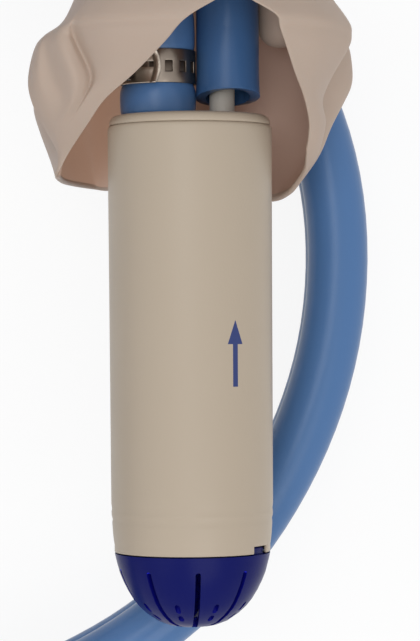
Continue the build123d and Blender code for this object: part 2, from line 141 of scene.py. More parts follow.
def buildArrowGroup():  # flow arrow printed round the casing: 1 inside the print, 0 outside
    tree, start, end = makeGroup(
        "flowArrow",
        [("Vector", "NodeSocketVector", None), ("Angle", "NodeSocketFloat", 32.0),
         ("Tip", "NodeSocketFloat", 0.0)],
        [("Mask", "NodeSocketFloat")])

    def sums(operation, *values):
        node = addNode(tree, "ShaderNodeMath", operation=operation)
        for index, value in enumerate(values):
            if isinstance(value, float):
                node.inputs[index].default_value = value
            else:
                tree.links.new(value, node.inputs[index])
        return node.outputs[0]

    split = addNode(tree, "ShaderNodeSeparateXYZ")
    tree.links.new(start.outputs["Vector"], split.inputs[0])
    height = sums("SUBTRACT", split.outputs["Z"], axisHeight)
    angle = sums("ARCTAN2", split.outputs["X"], height)
    offset = sums("SUBTRACT", angle, sums("RADIANS", start.outputs["Angle"]))
    across = sums("ABSOLUTE", sums("MULTIPLY", offset, arrowLook["radius"]))
    down = sums("SUBTRACT", start.outputs["Tip"], split.outputs["Y"])
    headWidth = sums("MULTIPLY", down, arrowLook["headSlope"])

    def within(halfWidth, reach):
        narrow = sums("MULTIPLY", sums("LESS_THAN", across, halfWidth), sums("LESS_THAN", down, reach[1]))
        return sums("MULTIPLY", narrow, sums("GREATER_THAN", down, reach[0]))

    inHead = within(headWidth, arrowLook["head"])
    inShaft = within(arrowLook["shaftHalf"], arrowLook["shaft"])
    tree.links.new(sums("MAXIMUM", inHead, inShaft), end.inputs["Mask"])
    return tree


mouldedGroup = buildMouldedGroup()
arrowGroup = buildArrowGroup()


def newMaterial(name):
    material = bpy.data.materials.new(name)
    material.use_nodes = True
    tree = material.node_tree
    tree.nodes.clear()
    shader = addNode(tree, "ShaderNodeBsdfPrincipled")
    output = addNode(tree, "ShaderNodeOutputMaterial")
    tree.links.new(shader.outputs[0], output.inputs[0])
    return material, tree, shader


plainLook = {"mottle": 0.15, "mottleScale": 60, "grainScale": 1500, "roughness": 0.4, "spread": 0.1,
             "bump": 0.1, "grainDeep": 0.0002, "metallic": 0.0, "specular": 0.5}


def mouldedMaterial(name, given):
    look = {**plainLook, **given}
    material, tree, shader = newMaterial(name)
    coords = addNode(tree, "ShaderNodeTexCoord")
    surface = addNode(tree, "ShaderNodeGroup")
    surface.node_tree = mouldedGroup
    tree.links.new(coords.outputs["Object"], surface.inputs["Vector"])
    surface.inputs["Color"].default_value = (*look["color"], 1)
    surface.inputs["Tint"].default_value = (*look.get("tint", [c * 0.8 for c in look["color"]]), 1)
    for label, key in (("Mottle Scale", "mottleScale"), ("Mottle Amount", "mottle"),
                       ("Grain Scale", "grainScale"), ("Roughness", "roughness"),
                       ("Roughness Spread", "spread")):
        surface.inputs[label].default_value = look[key]
    bump = addNode(tree, "ShaderNodeBump")
    bump.inputs["Strength"].default_value = look["bump"]
    bump.inputs["Distance"].default_value = look["grainDeep"]
    tree.links.new(surface.outputs["Height"], bump.inputs["Height"])
    tree.links.new(surface.outputs["Color"], shader.inputs["Base Color"])
    tree.links.new(surface.outputs["Roughness"], shader.inputs["Roughness"])
    tree.links.new(bump.outputs[0], shader.inputs["Normal"])
    shader.inputs["Metallic"].default_value = look["metallic"]
    shader.inputs["Specular IOR Level"].default_value = look["specular"]
    if "subsurface" in look:
        shader.inputs["Subsurface Weight"].default_value = look["subsurface"]
        shader.inputs["Subsurface Radius"].default_value = look["through"]
        shader.inputs["Subsurface Scale"].default_value = look["scatter"]
    return material


# each look is plainLook with its own colour and changes; the tint mottles the colour
looks = {
    "casingCream": {"color": (0.485, 0.405, 0.315), "tint": (0.44, 0.36, 0.275), "mottle": 0.2,
                    "roughness": 0.42, "specular": 0.35},
    "strainerBlue": {"color": (0.005, 0.008, 0.110), "tint": (0.004, 0.006, 0.085), "roughness": 0.3,
                     "specular": 0.08},
    # painted light: the slot walls' blue and the dome inside's blue are lighter copies of the strainer's blue
    "slotLitBlue": {"color": (0.003, 0.004, 0.17), "tint": (0.003, 0.004, 0.14), "roughness": 0.5,
                 "specular": 0.05},
    "strainerInsideLitBlue": {"color": (0.02, 0.03, 0.75), "tint": (0.02, 0.03, 0.6), "roughness": 0.5,
                       "specular": 0.1},
    "hoseBlue": {"color": (0.082, 0.186, 0.40), "tint": (0.065, 0.155, 0.345), "mottleScale": 35,
                 "roughness": 0.3, "specular": 0.3},
    "sleeveBlue": {"color": (0.082, 0.186, 0.40), "tint": (0.065, 0.155, 0.345), "mottleScale": 35,
                   "roughness": 0.3, "specular": 0.22},
    "cableCream": {"color": (0.56, 0.52, 0.46), "roughness": 0.5},
    "coverRubber": {"color": (0.49, 0.385, 0.315), "tint": (0.44, 0.34, 0.275), "mottle": 0.25,
                    "mottleScale": 45, "roughness": 0.55, "specular": 0.3, "bump": 0.12,
                    "subsurface": 0.1, "through": (1.0, 0.6, 0.45), "scatter": 0.005},
    # painted light: the cover's inside is a lighter, redder copy of the cover's rubber, and it also gets a
    # painted glow below
    "coverInsideLit": {"color": (0.56, 0.41, 0.335), "tint": (0.48, 0.34, 0.27), "mottle": 0.25,
                    "mottleScale": 45, "roughness": 0.6, "specular": 0.2, "bump": 0.12},
    # painted light: the saddle's steel is a lighter copy of the clip's steel, standing in for light it does
    # not catch under the cover
    "saddleSteelLit": {"color": (0.50, 0.44, 0.37), "metallic": 1.0, "roughness": 0.42, "spread": 0.25,
                    "grainScale": 900},
    "clipSteel": {"color": (0.25, 0.21, 0.175), "metallic": 1.0, "roughness": 0.36, "spread": 0.25,
                  "grainScale": 900},
    # painted shade: the tail's steel is a darker copy of the clip's steel, where it shows through the band's
    # holes
    "tailShadeSteel": {"color": (0.10, 0.08, 0.065), "metallic": 1.0, "roughness": 0.5, "spread": 0.2,
                  "grainScale": 900},
    "blackRubber": {"color": (0.02, 0.02, 0.02), "roughness": 0.6},
    "blackPlastic": {"color": (0.03, 0.03, 0.033), "roughness": 0.45},
    "whitePlastic": {"color": (0.72, 0.71, 0.67), "roughness": 0.4},
    "platedSteel": {"color": (0.55, 0.55, 0.54), "metallic": 1.0, "roughness": 0.32},
    "ferrite": {"color": (0.05, 0.05, 0.052), "roughness": 0.6, "bump": 0.3},
    "coreSteel": {"color": (0.30, 0.30, 0.31), "metallic": 1.0, "roughness": 0.45},
    "copper": {"color": (0.70, 0.30, 0.15), "metallic": 1.0, "roughness": 0.3, "grainScale": 2500,
               "bump": 0.5},
    "bronze": {"color": (0.50, 0.34, 0.16), "metallic": 1.0, "roughness": 0.5},
    "redWire": {"color": (0.40, 0.03, 0.025), "roughness": 0.4},
    "plugNavy": {"color": (0.014, 0.022, 0.10), "roughness": 0.4, "bump": 0.2},
    "pinBrass": {"color": (0.75, 0.62, 0.35), "metallic": 1.0, "roughness": 0.25},
}
materials = {name: mouldedMaterial(name, look) for name, look in looks.items()}


def openMaterial(material):  # the nodes a later change needs
    tree = material.node_tree
    shader = next(n for n in tree.nodes if n.type == "BSDF_PRINCIPLED")
    coords = next(n for n in tree.nodes if n.type == "TEX_COORD")
    return tree, shader, coords


def addArrow(material, look):  # the print goes over the casing's own colour
    tree, shader, coords = openMaterial(material)
    arrow = addNode(tree, "ShaderNodeGroup")
    arrow.node_tree = arrowGroup
    arrow.inputs["Angle"].default_value = look["angle"]
    arrow.inputs["Tip"].default_value = look["tip"]
    tree.links.new(coords.outputs["Object"], arrow.inputs["Vector"])
    mix = addNode(tree, "ShaderNodeMix", data_type="RGBA")
    mix.inputs["B"].default_value = (*look["color"], 1)
    plain = shader.inputs["Base Color"].links[0].from_socket
    tree.links.new(arrow.outputs["Mask"], mix.inputs["Factor"])
    tree.links.new(plain, mix.inputs["A"])
    tree.links.new(mix.outputs["Result"], shader.inputs["Base Color"])


addArrow(materials["casingCream"], arrowLook)


def addFade(material, socketName, look):  # a colour that changes along one axis of the object
    tree, shader, coords = openMaterial(material)
    split = addNode(tree, "ShaderNodeSeparateXYZ")
    tree.links.new(coords.outputs["Object"], split.inputs[0])
    fade = addNode(tree, "ShaderNodeMapRange", interpolation_type="SMOOTHSTEP")
    fade.inputs["From Min"].default_value = look["from"]
    fade.inputs["From Max"].default_value = look["to"]
    tree.links.new(split.outputs[look["axis"]], fade.inputs["Value"])
    mix = addNode(tree, "ShaderNodeMix", data_type="RGBA")
    socket = shader.inputs[socketName]
    if socket.links:
        tree.links.new(socket.links[0].from_socket, mix.inputs["A"])
    else:
        mix.inputs["A"].default_value = (*look["start"], 1)
    mix.inputs["B"].default_value = (*look["end"], 1)
    tree.links.new(fade.outputs[0], mix.inputs["Factor"])
    tree.links.new(mix.outputs["Result"], socket)


# painted glow: emission on the cover's inside stands in for light coming through the thin rubber, more
# towards the left
paintedGlowLook = {"axis": "X", "from": -0.018, "to": 0.014, "start": (0.115, 0.078, 0.056),
            "end": (0.022, 0.009, 0.006), "strength": 1.0}
addFade(materials["coverInsideLit"], "Emission Color", paintedGlowLook)
insideShader = openMaterial(materials["coverInsideLit"])[1]
insideShader.inputs["Emission Strength"].default_value = paintedGlowLook["strength"]
# painted shade: the sleeve is darker where it stands high, by the pump, where the cover shades it
sleeveShadeFade = {"axis": "Z", "from": 0.028, "to": 0.045, "end": (0.048, 0.122, 0.280)}
addFade(materials["sleeveBlue"], "Base Color", sleeveShadeFade)
print("materials made")


# mesh helpers

def cleanUp(bm):
    bmesh.ops.remove_doubles(bm, verts=bm.verts, dist=1e-6)
    bmesh.ops.recalc_face_normals(bm, faces=bm.faces)


def addPiece(name, bm, body, materialName, replaced=()):
    mesh = bpy.data.meshes.new(name)
    bm.to_mesh(mesh)
    bm.free()
    for face in mesh.polygons:
        face.use_smooth = True
    piece = newObject(name, mesh)
    mesh.materials.append(materials[materialName])
    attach(piece, body)
    if replaced:
        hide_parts(*replaced)
    return piece


def drawLine(bm, places):
    verts = [bm.verts.new(place) for place in places]
    return verts, [bm.edges.new(pair) for pair in zip(verts, verts[1:])]


def turnProfile(profile, centreX=0.0, steps=96, closed=False, centreZ=axisLevel):  # radius and height
    bm = bmesh.new()
    verts, edges = drawLine(bm, [(*mm(centreX + r), along(s), *mm(centreZ)) for r, s in profile])
    if closed:
        edges.append(bm.edges.new((verts[-1], verts[0])))
    bmesh.ops.spin(bm, geom=verts + edges, cent=mm(centreX, 0, centreZ), axis=(0, 1, 0), dvec=(0, 0, 0),
                   angle=math.tau, steps=steps, use_merge=True, use_duplicate=False)
    cleanUp(bm)
    return bm


def bevelEdges(bm, edges, width, segments=2):
    bmesh.ops.bevel(bm, geom=edges, offset=width / 1000, offset_type="OFFSET", segments=segments, profile=0.5,
                    affect="EDGES", material=-1, clamp_overlap=True)


def roundEdges(bm, width, angle=50):
    sharp = [e for e in bm.edges if len(e.link_faces) == 2 and e.calc_face_angle(0) > math.radians(angle)]
    bevelEdges(bm, sharp, width)


def aroundAngle(point, centreX=0.0):  # degrees from straight up towards +X, -180 to 180
    return math.degrees(math.atan2(point.x - centreX / 1000, point.z - axisHeight))


def applyModifiers(piece):
    graph = bpy.context.evaluated_depsgraph_get()
    baked = bpy.data.meshes.new_from_object(piece.evaluated_get(graph), depsgraph=graph)
    piece.modifiers.clear()
    old = piece.data
    piece.data = baked
    bpy.data.meshes.remove(old)


def cutAway(piece, cutters):  # takes the cutters' shape out of the piece
    mesh = bpy.data.meshes.new("cutters")
    cutters.to_mesh(mesh)
    cutters.free()
    cutter = newObject("cutters", mesh)
    cut = piece.modifiers.new("cut", "BOOLEAN")
    cut.operation = "DIFFERENCE"
    cut.solver = "EXACT"
    cut.object = cutter
    applyModifiers(piece)
    bpy.data.objects.remove(cutter)


def addWall(piece, thickness):
    wall = piece.modifiers.new("wall", "SOLIDIFY")
    wall.thickness = thickness / 1000
    return wall


def addSoftEdges(piece, width, segments=2, angle=50):
    soft = piece.modifiers.new("soft", "BEVEL")
    soft.width = width / 1000
    soft.segments = segments
    soft.limit_method = "ANGLE"
    soft.angle_limit = math.radians(angle)


def addSubdivision(piece):
    soft = piece.modifiers.new("soft", "SUBSURF")
    soft.levels = 1
    soft.render_levels = 1


# twin hose

hoseRoutes = {
    "waterHose": [
        (-7.8, 64.5, 54), (-7.8, 122, 54), (-34, 168, 49), (-83, 195, 35), (-146, 191, 23.3),
        (-199, 160, 23.3), (-229, 107, 23.3), (-239, 46, 23.3), (-233, -16, 23.3), (-208, -73, 23.3),
        (-164, -117, 23.3), (-110, -134, 23.3), (-58, -123, 23.3), (3, -92, 23.3), (38, -33, 23.3),
        (37, 34, 23.3), (-4, 86, 23.3), (-70, 104, 23.6), (-132, 80, 31), (-164, 26, 43.5),
        (-165, -25, 54.575), (-165, -65, 54.575)],
    "cableSleeve": [
        (9.45, 52.5, 54), (9.45, 61.5, 54), (8.1, 75, 54), (7.9, 131, 54), (-20, 178, 43), (-76, 206, 21),
        (-146, 191, 7.75), (-199, 160, 7.75), (-229, 107, 7.75), (-239, 46, 7.75), (-233, -16, 7.75),
        (-208, -73, 7.75), (-164, -117, 7.75), (-110, -134, 7.75), (-58, -123, 7.75), (3, -92, 7.75),
        (38, -33, 7.75), (37, 34, 7.75), (-4, 86, 7.75), (-70, 104, 7.9), (-132, 80, 15.1), (-164, 26, 27.6),
        (-165, -25, 38.825), (-165, -65, 38.825)],
}
hoseSize = {"radius": 7.7, "lengths": {"waterHose": 1.252, "cableSleeve": 1.292}}
hoseLooks = {"waterHose": ("water_hose", "hoseBlue"), "cableSleeve": ("cable_sleeve", "sleeveBlue")}


def routeCurve(name, points, radius):
    curve = bpy.data.curves.new(name, "CURVE")
    curve.dimensions = "3D"
    spline = curve.splines.new("NURBS")
    spline.points.add(len(points) - 1)
    for point, place in zip(spline.points, points):
        point.co = (*mm(*place), 1)
    spline.order_u = 3
    spline.use_endpoint_u = True
    spline.resolution_u = 12
    curve.bevel_depth = radius / 1000
    curve.bevel_resolution = 10
    curve.use_fill_caps = True
    return curve


cordPieces = {}
for routeName, (cadNode, lookName) in hoseLooks.items():
    cord = newObject(routeName, routeCurve(routeName, hoseRoutes[routeName], hoseSize["radius"]))
    cord.data.materials.append(materials[lookName])
    cordPieces[routeName] = cord
    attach(cordPieces[routeName], "pump")
    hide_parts(cadNode)
print("twin hose laid")


# casing and cap

casingShape = {"foot": 20.3, "skin": 18.3, "notches": ((52, 72), (232, 252)),
               "channels": ((52, 102), (232, 282)), "notchDeep": 1.8, "round": 0.25}


def buildCasing():
    foot, skin = casingShape["foot"], casingShape["skin"]
    bm = turnProfile([
        (17.4, foot), (skin, foot), (19.1, foot), (19.28, 21.4), (19.45, 23.0), (19.58, 25.0), (19.62, 25.8),
        (19.51, 26.5), (19.75, 27.5), (19.78, 28.3), (19.66, 29.1), (19.83, 30.3), (19.84, 33), (19.87, 42),
        (19.98, 80), (20.12, 120.6), (20.1, 121.6), (20.0, 122.2), (19.8, 122.55), (19.4, 122.7),
        (18.6, 122.7), (18.0, 122.7), (18.0, 112), (17.4, 111), (17.4, 60)], steps=180, closed=True)
    kept = []
    for face in bm.faces:  # the foot's ring goes on down, but for the notches and the bayonet's channels
        centre = face.calc_center_median()
        if face.normal.y > -0.9 or abs(centre.y - along(foot)) > 1e-5:
            continue
        inside = math.hypot(centre.x, centre.z - axisHeight) * 1000 < skin
        gaps = casingShape["channels"] if inside else casingShape["notches"]
        if not any(start <= aroundAngle(centre) % 360 <= stop for start, stop in gaps):
            kept.append(face)
    lower = bmesh.ops.extrude_face_region(bm, geom=kept)
    bmesh.ops.delete(bm, geom=kept, context="FACES_ONLY")
    moved = [v for v in lower["geom"] if isinstance(v, bmesh.types.BMVert)]
    bmesh.ops.translate(bm, verts=moved, vec=(0, -casingShape["notchDeep"] / 1000, 0))
    cleanUp(bm)
    roundEdges(bm, casingShape["round"])
    return bm


addPiece("casing", buildCasing(), "pump", "casingCream", ["outer_casing"])

capMesh = turnProfile([
    (0, 119), (15.6, 119), (15.6, 112.5), (17.95, 112.5), (17.95, 122.65), (19.3, 122.7), (19.62, 122.78),
    (19.75, 123.0), (19.7, 123.5), (19.5, 124.1), (19.15, 124.65), (18.6, 125.0), (17.8, 125.2), (0, 125.2)],
    steps=120)
addPiece("topCap", capMesh, "pump", "casingCream", ["top_cap"])

spigotMesh = turnProfile([
    (3.6, 116), (5.6, 116), (5.6, 124.2), (4.9, 126), (4.9, 130), (5.5, 131.4), (4.9, 134), (4.9, 142),
    (5.5, 143.4), (4.9, 146), (5.4, 147.4), (4.6, 152), (3.6, 152)], spigotX, 48, True)
addPiece("spigot", spigotMesh, "pump", "casingCream")
print("casing made")


# strainer dome

domeShape = {
    "slots": 9, "slotWidth": 1.3, "firstSlot": 4.7, "long": {"middles": (11.5,), "top": 14.6, "reach": 17},
    "short": {"middles": (13.3, 10.5), "top": 11.5, "reach": 2.1}, "sharp": 32, "wallDeep": 1.4,
}
domeOutside = [
    (0, 0), (2.0, 0.05), (4.0, 0.22), (6.0, 0.6), (8.6, 1.6), (11.35, 3.5), (13.2, 5.2), (14.5, 6.8),
    (15.9, 9.1), (17.0, 11.3), (17.85, 13.4), (18.45, 15.6), (18.85, 17.2), (19.05, 18.2)]
domeInside = [
    (17.33, 18.2), (17.33, 22), (15.7, 22), (15.7, 16.8), (14.7, 12.4), (12.6, 8.2), (10.2, 5.5), (7.8, 3.5),
    (5.4, 2.4), (3, 1.95), (0, 1.8)]


def slotCutter(bm, place, slot, middle, isLong):  # a long slot has a round top, a short one round ends
    wide = domeShape["slotWidth"]
    size = Matrix.Diagonal((*mm(wide, slot["top"] + 1, slot["reach"]), 1))
    centre = Matrix.Translation((0, along(slot["top"] / 2 - 0.5), middle / 1000))
    block = bmesh.ops.create_cube(bm, size=1, matrix=place @ centre @ size)
    flat = (place.to_3x3() @ Vector((1, 0, 0))).normalized()
    rounded = []
    for edge in dict.fromkeys(e for v in block["verts"] for e in v.link_edges):
        line = (edge.verts[0].co - edge.verts[1].co).normalized()
        atTop = sum(v.co.y for v in edge.verts) / 2 > along(slot["top"] - 0.1)
        if isLong and atTop and abs(line.dot(flat)) < 0.1 and abs(line.y) < 0.1:
            rounded.append(edge)
        if not isLong and abs(line.y) > 0.9:
            rounded.append(edge)
    bevelEdges(bm, rounded, wide / 2.1, 4)


def heightOn(profile, radius):
    for (near, low), (far, high) in zip(profile, profile[1:]):
        if near <= radius <= far:
            return low + (radius - near) / (far - near) * (high - low)
    return profile[-1][1]


def buildDome():
    bm = turnProfile(domeOutside + domeInside, steps=144)
    dome = addPiece("strainerDome", bm, "strainer_body", "strainerBlue", ["strainer"])
    cutters = bmesh.new()
    step = 360 / domeShape["slots"]
    for index in range(domeShape["slots"]):
        for kind, part in (("long", 0), ("short", 0.5)):
            turn = math.radians(domeShape["firstSlot"] + (index + part) * step)
            place = Matrix.Translation((0, 0, axisHeight)) @ Matrix.Rotation(turn, 4, "Y")
            for middle in domeShape[kind]["middles"]:
                slotCutter(cutters, place, domeShape[kind], middle, kind == "long")
    cutAway(dome, cutters)
    dome.data.set_sharp_from_angle(angle=math.radians(domeShape["sharp"]))
    dome.data.materials.append(materials["slotLitBlue"])
    dome.data.materials.append(materials["strainerInsideLitBlue"])
    for face in dome.data.polygons:  # painted light: the slots' walls and the inside get lighter blues than the outside, standing in for light in the slots and the hollow dome
        out = math.hypot(face.center.x, face.center.z - axisHeight) * 1000
        depth = (face.center.y - along(heightOn(domeOutside, out))) * 1000
        if depth > 0.3 and face.center.y < along(18.1):
            inside = abs(face.normal.y) > 0.2 and depth > domeShape["wallDeep"]
            face.material_index = 2 if inside else 1


buildDome()

tabShape = {"starts": (53, 233), "sweep": 18, "radii": (17.2, 18.15), "levels": (17.9, 19.9), "round": 0.2}


def buildTabs():  # the bayonet's two tabs
    bm = bmesh.new()
    near, far = tabShape["radii"]
    low, high = tabShape["levels"]
    for start in tabShape["starts"]:
        across, up = math.sin(math.radians(start)), math.cos(math.radians(start))
        verts = [bm.verts.new((*mm(r * across), along(s), axisHeight + r / 1000 * up))
                 for r, s in ((near, low), (far, low), (far, high), (near, high))]
        face = bm.faces.new(verts)
        bmesh.ops.spin(bm, geom=[face, *face.edges, *face.verts], cent=(0, 0, axisHeight), axis=(0, 1, 0),
                       angle=math.radians(tabShape["sweep"]), steps=8, use_duplicate=False, dvec=(0, 0, 0))
    cleanUp(bm)
    roundEdges(bm, tabShape["round"])
    return bm


addPiece("strainerTabs", buildTabs(), "strainer_body", "strainerBlue")
print("strainer made")


# hose ends, cable and clip

cuffMesh = turnProfile([
    (5.5, 125.25), (8.7, 125.25), (9.05, 125.5), (9.2, 126.2), (9.3, 127.6), (9.35, 129.6), (9.25, 131.2),
    (8.95, 132.2), (8.72, 132.8), (8.7, 136.7), (8.72, 140.6), (8.95, 141.3), (9.1, 142.4), (9.15, 145),
    (9.0, 149), (8.6, 151.8), (8.1, 154), (7.8, 156), (7.7, 158), (5.0, 158), (5.0, 153), (5.5, 150)],
    spigotX, 64, True)
addPiece("hoseCuff", cuffMesh, "pump", "hoseBlue", ["water_hose_end"])

# the sleeve flares a little to its cut end, and the cut leans
sleeveShape = {"cutAt": 129.7, "cutNormal": (-0.03, 1, -0.21), "wall": 2.5, "round": 0.3}


def buildSleeveEnd():
    bm = turnProfile([
        (8.05, 126), (7.95, 129), (7.8, 132), (7.7, 136), (7.7, 145.8), (7.66, 146.2), (7.6, 147)],
        sleeveX, 64)
    place = Vector((*mm(sleeveX), along(sleeveShape["cutAt"]), axisHeight))
    bmesh.ops.bisect_plane(bm, geom=[*bm.verts, *bm.edges, *bm.faces], dist=1e-6, plane_co=place,
                           plane_no=Vector(sleeveShape["cutNormal"]).normalized(), clear_inner=True)
    bmesh.ops.recalc_face_normals(bm, faces=bm.faces)
    return bm


sleeveEnd = addPiece("sleeveEnd", buildSleeveEnd(), "pump", "sleeveBlue", ["sleeve_end"])
addWall(sleeveEnd, sleeveShape["wall"])
addSoftEdges(sleeveEnd, sleeveShape["round"], angle=30)

cableX = 8.0
cableMesh = turnProfile([(0, 100), (3.1, 100), (3.1, 146), (0, 146)], cableX, 32)
addPiece("cable", cableMesh, "pump", "cableCream", ["power_cable"])
glandMesh = turnProfile([
    (3.12, 114.5), (5.18, 114.5), (5.18, 125.0), (4.4, 125.8), (3.12, 126.0)], cableX, 40, True)
addPiece("gland", glandMesh, "pump", "blackRubber", ["cable_gland"])

bandShape = {"levels": (132.8, 141.0), "radius": 9.0, "thick": 0.35, "round": 0.1, "tailRadii": (8.76, 8.98),
             "tailLevels": (133.1, 140.3), "holeMiddle": 136.8, "holeHalf": (1.35, 1.9), "holeStep": 24,
             "holeSpan": (6, 18), "holeTurn": 6}


def buildBand():  # the band's perforations are rows of faces left out
    middle = bandShape["holeMiddle"]
    low, high = bandShape["levels"]
    narrow, wide = bandShape["holeHalf"]
    levels = (low, middle - wide, middle - narrow, middle + narrow, middle + wide, high)
    bm = turnProfile([(bandShape["radius"], s) for s in levels], spigotX, 120)
    start, stop = bandShape["holeSpan"]
    holes = []
    for face in bm.faces:
        centre = face.calc_center_median()
        turn = (aroundAngle(centre, spigotX) - bandShape["holeTurn"]) % bandShape["holeStep"]
        if start < turn < stop and abs(centre.y - along(middle)) < 0.0015:
            holes.append(face)
    bmesh.ops.delete(bm, geom=holes, context="FACES")
    return bm


band = addPiece("clipBand", buildBand(), "pump", "clipSteel", ["clip_band"])
addWall(band, bandShape["thick"]).offset = 1
addSoftEdges(band, bandShape["round"])
# the band's tail under the holes is painted darker, painted shade seen through them
tailLow, tailHigh = bandShape["tailLevels"]
tailInside, tailOutside = bandShape["tailRadii"]
tailMesh = turnProfile([(tailInside, tailLow), (tailOutside, tailLow), (tailOutside, tailHigh),
                        (tailInside, tailHigh)], spigotX, 96, True)
addPiece("clipTail", tailMesh, "pump", "tailShadeSteel")

clipShape = {"middle": 136.7, "turn": -62, "screwLift": 11.9}
clipPlace = (Matrix.Translation((*mm(spigotX), along(clipShape["middle"]), axisHeight))
             @ Matrix.Rotation(math.radians(clipShape["turn"]), 4, "Y"))

saddleShape = {"turns": (-100, 5), "half": 4.25, "window": ((-23, -4), (-0.2, 1.1)), "rounded": (40, 7.0),
               "curl": (9, 0.9), "thick": 0.5, "round": 0.15}


def buildSaddle():  # curved plate outside the band, its sides turned up and its free end rounded and rolled
    bm = bmesh.new()
    middle = clipShape["middle"]
    start, stop = saddleShape["turns"]
    half = saddleShape["half"]
    rows = ((9.9, -half), (9.5, -3.8), (9.45, -1.2), (9.45, -0.2), (9.45, 1.1), (9.45, 2.2), (9.5, 3.8),
            (9.9, half))
    across, up = math.sin(math.radians(start)), math.cos(math.radians(start))
    places = [((spigotX + r * across) / 1000, along(middle + side), axisHeight + r * up / 1000)
              for r, side in rows]
    verts, edges = drawLine(bm, places)
    bmesh.ops.spin(bm, geom=verts + edges, cent=(*mm(spigotX), 0, axisHeight), axis=(0, 1, 0), dvec=(0, 0, 0),
                   angle=math.radians(stop - start), steps=52, use_duplicate=False)
    cleanUp(bm)
    roundedOver, trim = saddleShape["rounded"]
    curlOver, curlRise = saddleShape["curl"]
    for vert in bm.verts:
        out = math.hypot(vert.co.x - spigotX / 1000, vert.co.z - axisHeight)
        turn = aroundAngle(vert.co, spigotX)
        side = (vert.co.y - along(middle)) / (half / 1000)
        turn -= max(0.0, (turn - stop + roundedOver) / roundedOver) * trim * side * side
        near = max(0.0, (turn - stop + curlOver + trim * side * side) / curlOver)
        out += curlRise / 1000 * math.sin(min(near, 1.0) * math.pi * 0.62) ** 2
        vert.co.x = spigotX / 1000 + out * math.sin(math.radians(turn))
        vert.co.z = axisHeight + out * math.cos(math.radians(turn))
    (first, last), (below, above) = saddleShape["window"]
    window = []
    for face in bm.faces:
        centre = face.calc_center_median()
        side = (centre.y - along(middle)) * 1000
        if first < aroundAngle(centre, spigotX) < last and below < side < above:
            window.append(face)
    bmesh.ops.delete(bm, geom=window, context="FACES")
    bmesh.ops.recalc_face_normals(bm, faces=bm.faces)
    return bm


saddle = addPiece("clipSaddle", buildSaddle(), "pump", "saddleSteelLit", ["clip_housing"])
addWall(saddle, saddleShape["thick"]).offset = 1
addSoftEdges(saddle, saddleShape["round"])

channelShape = {"long": 9.0, "radius": 2.9, "foot": 9.6, "lip": 0.45, "lipLong": 0.5, "thick": 0.6,
                "round": 0.15}


def buildChannel():  # arched channel over the screw with a lip round each end
    bm = bmesh.new()
    reach = channelShape["long"] / 2000
    height = clipShape["screwLift"] / 1000
    radius, foot, lip, lipLong = mm(*(channelShape[key] for key in ("radius", "foot", "lip", "lipLong")))
    outline = [(-radius, foot), (-radius, height)]
    for turn in range(15, 180, 15):
        across, up = math.cos(math.radians(turn)), math.sin(math.radians(turn))
        outline.append((-radius * across, height + radius * up))
    outline += [(radius, height), (radius, foot)]
    edges = drawLine(bm, [(-reach, y, z) for y, z in outline])[1]
    for x in (-reach + lipLong, reach - lipLong, reach):
        out = bmesh.ops.extrude_edge_only(bm, edges=edges)
        edges = [e for e in out["geom"] if isinstance(e, bmesh.types.BMEdge)]
        for vert in (v for v in out["geom"] if isinstance(v, bmesh.types.BMVert)):
            vert.co.x = x
    for vert in bm.verts:
        if abs(abs(vert.co.x) - reach) < 1e-5:
            away = Vector((0, vert.co.y, max(vert.co.z - height, 0))).normalized()
            vert.co += away * lip
    bmesh.ops.transform(bm, matrix=clipPlace, verts=bm.verts)
    bmesh.ops.recalc_face_normals(bm, faces=bm.faces)
    return bm


channel = addPiece("clipChannel", buildChannel(), "pump", "clipSteel")
addWall(channel, channelShape["thick"]).offset = 0
addSoftEdges(channel, channelShape["round"])

screwShape = {"ridges": 8, "pitch": 1.05, "headRadius": 2.5, "headLong": 3.4, "headAt": 7.2, "round": 0.25,
              "slot": (0.8, 7, 2.2), "slotAt": 8.8}


def buildScrew():  # worm screw: ridged shank, collar and slotted hexagon head
    place = (clipPlace @ Matrix.Translation((0, 0, clipShape["screwLift"] / 1000))
             @ Matrix.Rotation(math.radians(90), 4, "Y"))
    bm = bmesh.new()
    profile = [(0, -4.7), (1.2, -4.7)]
    for ridge in range(screwShape["ridges"]):
        start = ridge * screwShape["pitch"] - 4.4
        profile += [(1.3, start), (1.85, start + 0.35), (1.85, start + 0.5)]
    profile += [(1.5, 4.5), (2.75, 4.9), (2.75, 5.45), (2.3, 5.6), (0, 5.6)]
    verts, edges = drawLine(bm, [(r / 1000, 0, x / 1000) for r, x in profile])
    bmesh.ops.spin(bm, geom=verts + edges, cent=(0, 0, 0), axis=(0, 0, 1), dvec=(0, 0, 0), angle=math.tau,
                   steps=40, use_merge=True, use_duplicate=False)
    cleanUp(bm)
    headRadius, headLong = mm(screwShape["headRadius"], screwShape["headLong"])
    head = bmesh.ops.create_cone(bm, cap_ends=True, segments=6, radius1=headRadius, radius2=headRadius,
                                 depth=headLong, matrix=Matrix.Translation(mm(0, 0, screwShape["headAt"])))
    bevelEdges(bm, [e for e in bm.edges if all(v in head["verts"] for v in e.verts)], screwShape["round"])
    bmesh.ops.transform(bm, matrix=place, verts=bm.verts)
    screw = addPiece("clipScrew", bm, "clip_screw_body", "clipSteel", ["clip_screw"])
    cutter = bmesh.new()
    bmesh.ops.create_cube(cutter, size=1, matrix=place @ Matrix.Translation(mm(0, 0, screwShape["slotAt"]))
                          @ Matrix.Diagonal((*mm(*screwShape["slot"]), 1)))
    cutAway(screw, cutter)


buildScrew()
print("hose ends and clip made")


# dust cover

